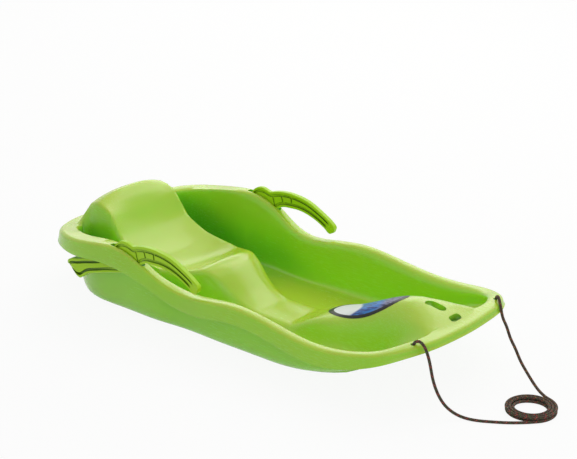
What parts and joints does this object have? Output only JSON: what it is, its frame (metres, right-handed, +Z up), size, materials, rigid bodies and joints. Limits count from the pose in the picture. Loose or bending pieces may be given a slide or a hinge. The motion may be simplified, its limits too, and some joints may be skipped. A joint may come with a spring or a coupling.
{
  "type": "plastic sled",
  "caption": "Moulded tub sled with a shaped seat and backrest, a hand brake lever on each side and a rope to pull it by.",
  "frame": {"origin": "on the ground, under the middle of the sled", "axes": "+X to the nose, +Y to the rider's left, +Z up"},
  "size_m": [1.0458, 0.3988, 0.172],
  "materials": {
    "hull_plastic": "glossy lime green, slightly translucent",
    "lever_plastic": "satin green",
    "pin_steel": "drawn steel",
    "rope": "braided cord, dark with coloured flecks",
    "sticker_film": "printed film"
  },
  "bodies": {
    "sled": {"hull": "hull_plastic", "brake_pin_right": "pin_steel", "brake_pin_left": "pin_steel", "front_sticker": "sticker_film", "tow_rope_right_run": "rope", "tow_rope_left_run": "rope", "tow_rope_coil": "rope", "tow_rope_knot_right": "rope", "tow_rope_knot_left": "rope"},
    "brake_right": {"brake_lever_right": "lever_plastic"},
    "brake_left": {"brake_lever_left": "lever_plastic"}
  },
  "joints": [
    {"name": "brake_right_hinge", "type": "hinge", "parent": "sled", "child": "brake_right", "pos_m": [-0.168, -0.1828, 0.122], "axis": [0, -1, 0], "range_deg": [0, 40]},
    {"name": "brake_left_hinge", "type": "hinge", "parent": "sled", "child": "brake_left", "pos_m": [-0.168, 0.1828, 0.122], "axis": [0, -1, 0], "range_deg": [0, 40]}
  ]
}
